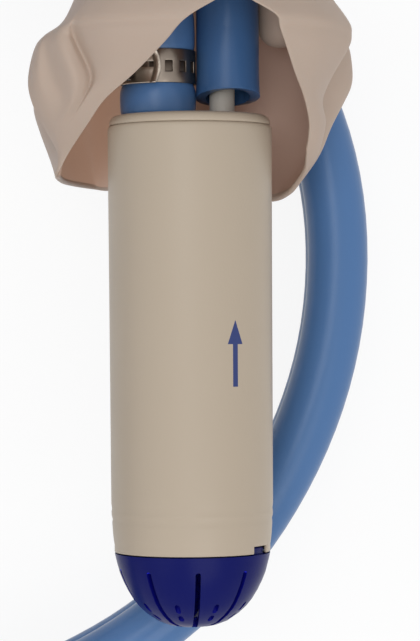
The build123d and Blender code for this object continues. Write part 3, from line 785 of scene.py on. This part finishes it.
# each row runs once round the cover, from the left front edge, past the left fold and under the pump, to
# the right front edge, at its height from the dome's tip; a point is across and up, and where it has three
# values the middle one is its own height
coverShape = {
    "wall": 1.6, "steps": 5, "neck": (35.6, 19.6), "neckLevels": (187.0, 180.0, 174.0),
    "peak": (10.5, 154.0, 81.8),
    "shoulder": (163.0, [
        (8, 77.5), (-2, 78), (-9, 76.5), (-14, 73), (-18, 69), (-20.5, 66), (-22, 63), (-23.2, 60),
        (-23.7, 57), (-24, 52), (-24.5, 45), (-22.5, 38), (-18.5, 34.5), (-15, 33.5), (-9, 33.5), (0, 36.5),
        (13, 38), (23, 41), (28, 46.5), (28.5, 53), (28, 58), (26.5, 64), (18, 73.5), (8, 77.5)]),
    "wide": (147.5, [
        (1.4, 83.4), (-8.5, 83), (-18.5, 79.5), (-26.8, 73), (-28.9, 69.8), (-30.0, 66.5), (-30.4, 64),
        (-30.6, 61.5), (-30.4, 58.5), (-29.0, 53.5), (-30.2, 46), (-31.0, 27), (-29, 17), (-23.5, 14),
        (-14, 21), (0, 32.8), (19, 33.3), (31, 37), (37.8, 44), (36.6, 52.5), (38.1, 58), (38.4, 63.5),
        (31.5, 76), (20.3, 83.2)]),
    "lobe": (144.3, [
        (-2.4, 82.2), (-10, 81.3), (-18.6, 78.4), (-27.4, 69.8), (-31.2, 69.4), (-33.4, 66.3),
        (-34.6, 64.3), (-35.2, 61.6), (-35.1, 58.6), (-31, 53.5), (-33.6, 47), (-34.2, 26.5), (-31, 14.5),
        (-24.3, 11), (-15, 20), (0, 32.6), (19, 33.3), (31.8, 37.2), (39.1, 44.2), (35.4, 53), (38.6, 58.2),
        (39.1, 63.4), (31.7, 75.2), (21.6, 81.6)]),
    "bulge": (141.0, [
        (-5.3, 80.0), (-11.5, 79.3), (-18.3, 77.0), (-26.2, 69.0), (-30.8, 70.2), (-34.3, 66.0),
        (-36.2, 64.6), (-37.3, 61.8), (-37.3, 58.8), (-32.0, 53.5), (-36.0, 47.5), (-36.0, 26), (-32.5, 12),
        (-25, 8), (-15, 19.5), (0, 32.5), (19, 33.3), (32.5, 37.5), (40.3, 44.5), (34.0, 53.5),
        (37.9, 58.5), (38.4, 63.3), (31.4, 74.3), (22.8, 80)]),
    "fold": (134.0, [
        (-12.9, 74.0), (-15.6, 73.6), (-18.9, 72.4), (-23.4, 67.6), (-28.2, 69.6), (-32.9, 64.6),
        (-36.4, 63.6), (-38.6, 60.6), (-38.6, 57.6), (-30.0, 53.0), (-37.8, 45), (-37.2, 23), (-33.5, 7),
        (-25.5, 3), (-15.5, 18), (0, 32.3), (19, 33.2), (33, 37.5), (40.7, 44.5), (31.2, 52.5),
        (34.0, 57.8), (34.6, 61.3), (30.8, 69.8), (25.4, 75.3)]),
    "crease": (128.5, [
        (-20.0, 68.4), (-21.6, 68.0), (-23.6, 67.2), (-25.6, 65.8), (-28.2, 66.2), (-31.0, 63.6),
        (-35.0, 62.0), (-37.6, 59.2), (-37.7, 56.6), (-28.0, 51.6), (-38.8, 41), (-37.6, 22.5),
        (-33.3, 6.8), (-25.3, 2.5), (-15.2, 17.8), (0, 32), (18.5, 32.5), (32, 37.5), (38.3, 44.5),
        (30.2, 51.5), (32.2, 55.8), (32.5, 59), (31.0, 65.6), (27.8, 70.2)]),
    "low": (123.0, [
        (-24.4, 62.8), (-25.9, 62.5), (-27.4, 61.9), (-29.3, 61), (-31.2, 60.2), (-32.9, 59), (-34.4, 57.4),
        (-35.6, 55.4), (-35.4, 53.6), (-28.8, 50.0), (-37.4, 37), (-37.2, 22), (-33, 6.5), (-25, 2),
        (-15, 17.5), (0, 31.8), (18, 31.8), (30, 37.5), (35.4, 44.5), (31.0, 50.6), (33.1, 54.5),
        (33.2, 57.0), (31.7, 61), (29.2, 64.4)]),
    "hem": (116.3, [
        (-29.6, 55.2), (-30.2, 55), (-30.8, 54.7), (-31.4, 54.3), (-31.8, 53.9), (-32.1, 53.5),
        (-32.4, 52.9), (-32.6, 52.2), (-32.6, 51.2), (-32.2, 48.6), (-35.4, 36), (-35.2, 22), (-31.8, 7.5),
        (-24.5, 2.5), (-15, 17.5), (0, 31.8), (17, 115.6, 31.8), (27.8, 115.2, 37), (31.8, 115.2, 44.2),
        (30.9, 115.3, 48.8), (31.5, 115.6, 52.0), (31.5, 116.4, 54.7), (30.7, 118.0, 58.2),
        (29.0, 119.9, 61.1)]),
    "rim": [
        (-32.2, 111.9, 51.6), (-32.5, 111.7, 51.4), (-32.8, 111.5, 51.1), (-33.0, 111.3, 50.8),
        (-33.2, 111.2, 50.4), (-33.4, 111.1, 50.0), (-33.5, 111, 49.4), (-33.6, 110.9, 48.7),
        (-33.6, 110.8, 47.6), (-33.7, 110.7, 44.5), (-33.8, 110.5, 36), (-33.0, 110.1, 22),
        (-29.5, 109.8, 8.5), (-23.5, 109.3, 3.5), (-14.5, 108.5, 17.5), (0, 106.9, 31.8),
        (13.5, 104.9, 32.4), (20.8, 104.4, 36.6), (24.4, 105.6, 41.2), (26.7, 108.0, 45.3),
        (28.0, 110.3, 48.8), (28.5, 112.3, 51.7), (28.5, 114.4, 54.9), (28.7, 116.7, 57.8)],
}
coverCreases = {"wide": 0.6, "lobe": 1.3, "bulge": 1.5, "fold": 1.1, "crease": 0.4}
# how the wall thins at the cut front edges and in the gathered left corner, counted in columns and levels
coverThin = {"least": 0.45, "left": 14, "right": 30, "corner": 45, "cornerFrom": 11, "cornerFade": 5}


def through(points, steps):  # a smooth run through the points, with so many steps between each two
    run = []
    for index in range(len(points) - 1):
        before, here = points[max(index - 1, 0)], points[index]
        after, later = points[index + 1], points[min(index + 2, len(points) - 1)]
        for step in range(steps):
            t = step / steps
            bend = 2 * before - 5 * here + 4 * after - later
            twist = 3 * here - before - 3 * after + later
            run.append(0.5 * (2 * here + (after - before) * t + bend * t * t + twist * t ** 3))
    run.append(points[-1].copy())
    return run


def neckRow(s, count):  # the slot-shaped neck, from its front round by the left
    width, height = coverShape["neck"]
    straight, radius = width - height, height / 2
    arc = math.pi * radius
    right = straight * 0.3  # where the row starts, right of the neck's middle
    front = straight / 2 + right
    row = []
    for index in range(count):
        distance = 2 * (straight + arc) * index / (count - 1)
        if distance < front:
            across, up = right - distance, radius
        elif distance < front + arc:
            turn = (distance - front) / radius
            across, up = -straight / 2 - radius * math.sin(turn), radius * math.cos(turn)
        elif distance < front + arc + straight:
            across, up = distance - front - arc - straight / 2, -radius
        elif distance < front + arc + straight + arc:
            turn = (distance - front - arc - straight) / radius
            across, up = straight / 2 + radius * math.sin(turn), -radius * math.cos(turn)
        else:
            across, up = straight * 1.5 + 2 * arc + front - distance, radius
        row.append(Vector((across, s, axisLevel + up)))
    return row


def sharpenValley(row, height):  # two more points close beside the left valley hold its banks up
    right = row[2].lerp(row[3], 0.7) + Vector((0, 0, height))
    left = row[3].lerp(row[4], 0.4) + Vector((0, 0, height * 0.6))
    row.insert(4, left)
    row.insert(3, right)


def coverRows():
    rows = []
    for label in ("shoulder", "wide", "lobe", "bulge", "fold", "crease", "low", "hem"):
        s, points = coverShape[label]
        rows.append([Vector(point if len(point) == 3 else (point[0], s, point[1])) for point in points])
        sharpenValley(rows[-1], coverCreases.get(label, 0))
    rows.append([Vector(point) for point in coverShape["rim"]])
    sharpenValley(rows[-1], 0)
    peak = [(a + b) / 2 for a, b in zip(rows[0], rows[1])]
    peak[0] = peak[-1] = Vector(coverShape["peak"])
    return [*(neckRow(s, len(peak)) for s in coverShape["neckLevels"]), rows[0], peak, *rows[1:]]


def wallWeight(column, level, across, up):  # the wall's share of its full thickness
    lower = min(max((level - up + coverThin["cornerFrom"]) / coverThin["cornerFade"], 0.0), 1.0)
    fromLeft = max(column - coverThin["corner"] * lower, 0) / coverThin["left"]
    fromRight = (across - 1 - column) / coverThin["right"]
    least = coverThin["least"]
    return least + (1 - least) * min(fromLeft, fromRight, 1.0)


def buildCover():
    rows = coverRows()
    steps = coverShape["steps"]
    closedLevels = 4 * steps  # closed in front down to the peak, and open below it
    columns = [through([row[index] for row in rows], steps) for index in range(len(rows[0]))]
    surface = [through([column[level] for column in columns], steps) for level in range(len(columns[0]))]
    for level in range(closedLevels + 1):
        surface[level][0] = surface[level][-1] = (surface[level][0] + surface[level][-1]) / 2
    bm = bmesh.new()
    across, up = len(surface[0]), len(surface)
    bmesh.ops.create_grid(bm, x_segments=across - 1, y_segments=up - 1, size=1)
    for face in bm.faces:  # the hem keeps the outside's colour on both sides
        if (face.calc_center_median().y + 1) / 2 * (up - 1) > up - 2:
            face.material_index = 2
    thin = bm.verts.layers.deform.verify()
    for vert in bm.verts:
        column = round((vert.co.x + 1) / 2 * (across - 1))
        level = round((vert.co.y + 1) / 2 * (up - 1))
        place = surface[level][column]
        vert.co = (place.x / 1000, along(place.y), place.z / 1000)
        vert[thin][0] = wallWeight(column, level, across, up) if level > closedLevels else 1.0
    cleanUp(bm)
    left = min(bm.faces, key=lambda f: f.calc_center_median().x)
    if left.normal.x > 0:
        bmesh.ops.reverse_faces(bm, faces=bm.faces)
    return bm


cover = addPiece("dustCover", buildCover(), "cover_body", "coverRubber", ["dust_cover"])
cover.vertex_groups.new(name="wall")
coverWall = addWall(cover, coverShape["wall"])
coverWall.vertex_group = "wall"
coverWall.use_even_offset = False
coverWall.material_offset = 1
for lookName in ("coverInsideLit", "coverRubber", "coverRubber"):
    cover.data.materials.append(materials[lookName])
addSubdivision(cover)

# lip inside the cover that hangs from its neck beside the sleeve and leans towards it
lipShape = {
    "x": 22.7, "z": 48.0, "straightTo": 149.0, "lean": (-0.14, 0.14),
    "profile": [(0, 142.3), (1.8, 142.45), (3.4, 143), (4.8, 144.2), (5.8, 146.2), (6.2, 149), (6.0, 153),
                (5.1, 158), (3.9, 163), (3.1, 166), (1.7, 168.4), (0, 168.8)],
}


def buildLip():
    bm = turnProfile(lipShape["profile"], lipShape["x"], 40, centreZ=lipShape["z"])
    leanX, leanZ = lipShape["lean"]
    for vert in bm.verts:
        rise = max(vert.co.y - along(lipShape["straightTo"]), 0)
        vert.co.x += leanX * rise
        vert.co.z += leanZ * rise
    return bm


lip = addPiece("coverLip", buildLip(), "cover_body", "coverRubber")
addSubdivision(lip)
print("dust cover made")


# nodes that stay, and the plug

nodeLooks = {
    "inlet_plate": "blackPlastic", "impeller": "whitePlastic", "impeller_clip": "platedSteel",
    "diffuser": "blackPlastic", "motor_capsule": "blackPlastic", "capsule_lid": "blackPlastic",
    "capsule_o_ring": "blackRubber", "shaft_seal": "blackRubber", "motor_can": "platedSteel",
    "motor_end_cap": "whitePlastic", "magnet_left": "ferrite", "magnet_right": "ferrite",
    "rotor_shaft": "platedSteel", "armature_core": "coreSteel", "armature_windings": "copper",
    "commutator": "copper", "lower_bearing": "bronze", "upper_bearing": "bronze", "brush_left": "bronze",
    "brush_right": "bronze", "lead_wires": "redWire", "plug_o_rings": "blackRubber",
    "contact_pins": "pinBrass", "plug_screws": "platedSteel",
}
for nodeName, lookName in nodeLooks.items():
    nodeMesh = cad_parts[nodeName].data
    nodeMesh.materials.clear()
    nodeMesh.materials.append(materials[lookName])


def easedCopy(nodeName, pieceName, materialName, width):  # the node's shape with rounded edges
    bm = bmesh.new()
    bm.from_mesh(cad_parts[nodeName].data)
    bmesh.ops.remove_doubles(bm, verts=bm.verts, dist=1e-5)
    bmesh.ops.dissolve_limit(bm, angle_limit=math.radians(2), use_dissolve_boundaries=False, verts=bm.verts,
                             edges=bm.edges, delimit={"NORMAL"})
    piece = addPiece(pieceName, bm, "pump", materialName, [nodeName])
    addSoftEdges(piece, width, 3, 40)
    return piece


plugPieces = [
    easedCopy("plug_boot", "plugBoot", "blackRubber", 0.8),
    easedCopy("plug_body", "plugBody", "plugNavy", 0.5),
    easedCopy("plug_cover", "plugCover", "plugNavy", 0.5),
    easedCopy("plug_spigot", "plugSpigot", "plugNavy", 0.3),
    easedCopy("pin_block", "pinBlock", "whitePlastic", 0.4),
]
plugPieces += [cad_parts[name] for name in ("plug_o_rings", "contact_pins", "plug_screws")]
print("plug made")


# floor, world and lamps

# each lamp has its place, size and power
stageLook = {"floor": (0.95, 0.95, 0.95), "floorRough": 0.9, "floorHalf": 3.0, "white": 0.9, "world": 0.7,
             "lookAt": (0, 0, 0.05),
             "lamps": [((0.3, -0.6, 0.95), 0.7, 3.2), ((-0.15, 0.2, 1.1), 0.5, 2.0),
                       ((-0.7, -0.4, 0.8), 0.7, 0.9)]}


def seenRays(tree):  # rays that show the background, straight, mirrored or through glass
    path = addNode(tree, "ShaderNodeLightPath")
    total = path.outputs["Is Camera Ray"]
    for label in ("Is Glossy Ray", "Is Transmission Ray"):
        more = addNode(tree, "ShaderNodeMath", operation="ADD", use_clamp=True)
        tree.links.new(total, more.inputs[0])
        tree.links.new(path.outputs[label], more.inputs[1])
        total = more.outputs[0]
    return total


def mixShaders(tree, factor, plain, seen, output):
    mix = addNode(tree, "ShaderNodeMixShader")
    for index, socket in enumerate((factor, plain.outputs[0], seen.outputs[0])):
        tree.links.new(socket, mix.inputs[index])
    tree.links.new(mix.outputs[0], output.inputs[0])


floorGrid = bmesh.new()
bmesh.ops.create_grid(floorGrid, x_segments=1, y_segments=1, size=stageLook["floorHalf"])
floorData = bpy.data.meshes.new("floor")
floorGrid.to_mesh(floorData)
floorGrid.free()
floor = newObject("floor", floorData)
floorMaterial, floorTree, floorShader = newMaterial("paleFloor")  # mostly white where it is seen
floorShader.inputs["Base Color"].default_value = (*stageLook["floor"], 1)
floorShader.inputs["Roughness"].default_value = stageLook["floorRough"]
emission = addNode(floorTree, "ShaderNodeEmission")
emission.inputs["Color"].default_value = (1, 1, 1, 1)
part = addNode(floorTree, "ShaderNodeMath", operation="MULTIPLY")
part.inputs[1].default_value = stageLook["white"]
floorTree.links.new(seenRays(floorTree), part.inputs[0])
floorOutput = next(n for n in floorTree.nodes if n.type == "OUTPUT_MATERIAL")
mixShaders(floorTree, part.outputs[0], floorShader, emission, floorOutput)
floorData.materials.append(floorMaterial)

world = bpy.data.worlds.new("studio")
bpy.context.scene.world = world
world.use_nodes = True
worldTree = world.node_tree
worldTree.nodes.clear()
sky = addNode(worldTree, "ShaderNodeBackground")
white = addNode(worldTree, "ShaderNodeBackground")
sky.inputs["Strength"].default_value = stageLook["world"]
white.inputs["Color"].default_value = (1, 1, 1, 1)
white.inputs["Strength"].default_value = 1.0
worldOutput = addNode(worldTree, "ShaderNodeOutputWorld")
mixShaders(worldTree, seenRays(worldTree), sky, white, worldOutput)

for index, (place, size, power) in enumerate(stageLook["lamps"]):
    lampData = bpy.data.lights.new(f"softbox{index}", "AREA")
    lampData.shape = "SQUARE"
    lampData.size = size
    lampData.energy = power
    lamp = newObject(f"softbox{index}", lampData)
    lamp.location = place
    aim = Vector(stageLook["lookAt"]) - Vector(place)
    lamp.rotation_euler = aim.to_track_quat("-Z", "Y").to_euler()
print("lights set")
